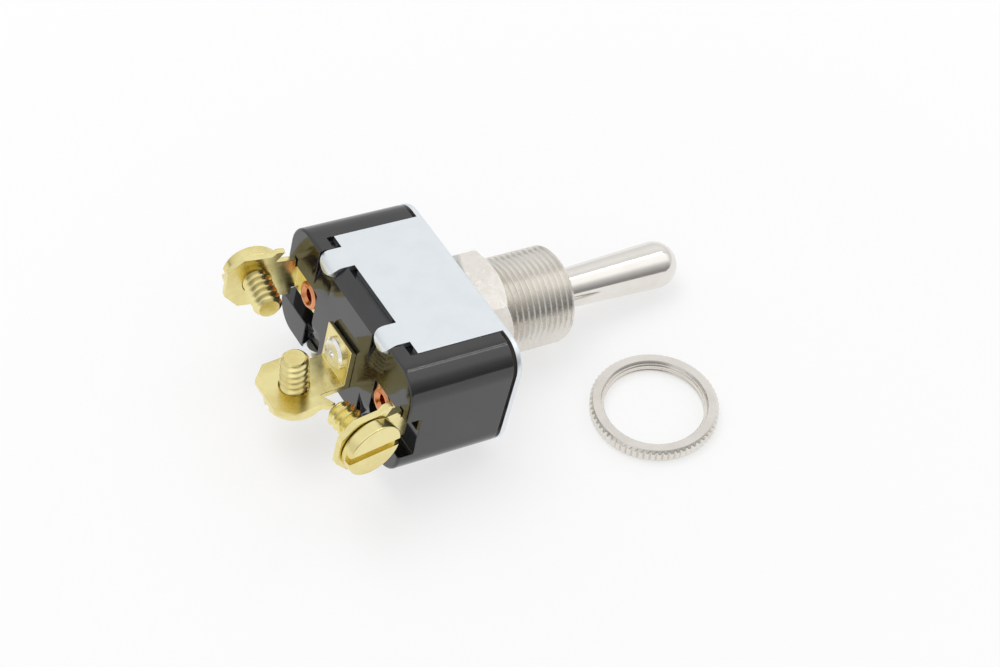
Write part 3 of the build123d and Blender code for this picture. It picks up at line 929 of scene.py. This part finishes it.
# Floor: keeps the shadow near the switch, goes to plain white further out, and is clear from below
def make_floor():
    material = bpy.data.materials.new("floor")
    material.use_nodes = True
    tree = material.node_tree
    tree.nodes.clear()
    end = tree.nodes.new("ShaderNodeOutputMaterial")
    paper = add_node(tree, "ShaderNodeBsdfDiffuse", Color=grey(floor_paper))
    white = add_node(tree, "ShaderNodeEmission", Color=grey(1.0), Strength=1.0)
    clear = tree.nodes.new("ShaderNodeBsdfTransparent")
    place = tree.nodes.new("ShaderNodeTexCoord")
    away = add_node(tree, "ShaderNodeVectorMath", {"operation": "LENGTH"})
    tree.links.new(place.outputs["Object"], away.inputs[0])
    fade = tree.nodes.new("ShaderNodeMapRange")
    fade.interpolation_type = "SMOOTHSTEP"
    fade.inputs["From Min"].default_value = floor_clear_radius
    fade.inputs["From Max"].default_value = floor_white_radius
    fade.inputs["To Min"].default_value = floor_white_share
    tree.links.new(away.outputs["Value"], fade.inputs["Value"])
    path = tree.nodes.new("ShaderNodeLightPath")
    mirrored = mirror_ray(tree, path)
    seen = math_node(tree, "ADD", path.outputs["Is Camera Ray"], mirrored, clamp=True)
    lift = math_node(tree, "MULTIPLY", mirrored, floor_mirror_lift)
    share = math_node(tree, "ADD", fade.outputs["Result"], lift, clamp=True)
    shown = math_node(tree, "MULTIPLY", seen, share)
    top = mix_shader(tree, shown, paper.outputs[0], white.outputs[0])
    geometry = tree.nodes.new("ShaderNodeNewGeometry")
    below = math_node(
        tree, "MULTIPLY", geometry.outputs["Backfacing"], path.outputs["Is Camera Ray"]
    )
    both = mix_shader(tree, below, top, clear.outputs[0])
    tree.links.new(both, end.inputs["Surface"])
    along = Vector((math.cos(rest_pitch), 0, math.sin(rest_pitch)))
    across = Vector((0, 1, 0))
    corners = [
        floor_point + along * i * floor_radius + across * j * floor_radius
        for i, j in ((-1, -1), (1, -1), (1, 1), (-1, 1))
    ]
    mesh = bpy.data.meshes.new("floor")
    mesh.from_pydata([tuple(c) for c in corners], [], [(0, 1, 2, 3)])
    mesh.materials.append(material)
    held("floor", mesh)


make_floor()


# Studio: white to the camera, even light all round, and light and dark bands for the metal
def make_studio():
    world = bpy.data.worlds.new("studio")
    bpy.context.scene.world = world
    world.use_nodes = True
    tree = world.node_tree
    tree.nodes.clear()
    end = tree.nodes.new("ShaderNodeOutputWorld")
    path = tree.nodes.new("ShaderNodeLightPath")
    place = tree.nodes.new("ShaderNodeTexCoord")
    split = tree.nodes.new("ShaderNodeSeparateXYZ")
    tree.links.new(place.outputs["Generated"], split.inputs[0])
    back = math_node(tree, "MULTIPLY", split.outputs["Y"], -1.0)
    turn = math_node(tree, "ARCTAN2", split.outputs["Z"], back)
    share = math_node(tree, "DIVIDE", turn, math.pi)
    bands = tree.nodes.new("ShaderNodeValToRGB")
    stops = bands.color_ramp.elements
    while len(stops) < len(room_bands):
        stops.new(0.5)
    for stop, (degrees, level) in zip(stops, room_bands):
        stop.position = degrees / 180
        stop.color = grey(level)
    tree.links.new(share, bands.inputs["Fac"])
    side = math_node(tree, "ABSOLUTE", split.outputs["X"])
    ends = tree.nodes.new("ShaderNodeMapRange")
    ends.interpolation_type = "SMOOTHSTEP"
    ends.inputs["From Min"].default_value = end_starts
    ends.inputs["From Max"].default_value = end_full
    tree.links.new(side, ends.inputs["Value"])
    mirrored = mix_color(tree, ends.outputs["Result"], bands.outputs["Color"], grey(end_level))
    room = add_node(tree, "ShaderNodeBackground", Color=grey(room_level), Strength=1.0)
    gloss = add_node(tree, "ShaderNodeBackground", Color=mirrored, Strength=1.0)
    white = add_node(tree, "ShaderNodeBackground", Color=grey(1.0), Strength=1.0)
    unseen = mix_shader(tree, mirror_ray(tree, path), room.outputs[0], gloss.outputs[0])
    whole = mix_shader(tree, path.outputs["Is Camera Ray"], unseen, white.outputs[0])
    tree.links.new(whole, end.inputs["Surface"])


def softbox(name, place, size, watts, mirrored):
    data = bpy.data.lights.new(name, "AREA")
    data.shape = "RECTANGLE"
    data.size = size[0] * MM
    data.size_y = size[1] * MM
    data.energy = watts
    lamp = bpy.data.objects.new(name, data)
    lamp.location = Vector(place) * MM
    lamp.rotation_mode = "QUATERNION"
    lamp.rotation_quaternion = (-Vector(place)).to_track_quat("-Z", "Y")
    lamp.visible_glossy = mirrored
    bpy.context.scene.collection.objects.link(lamp)


make_studio()
for name, values in lamps.items():
    softbox(name, *values)

bpy.context.scene.view_settings.view_transform = "Standard"
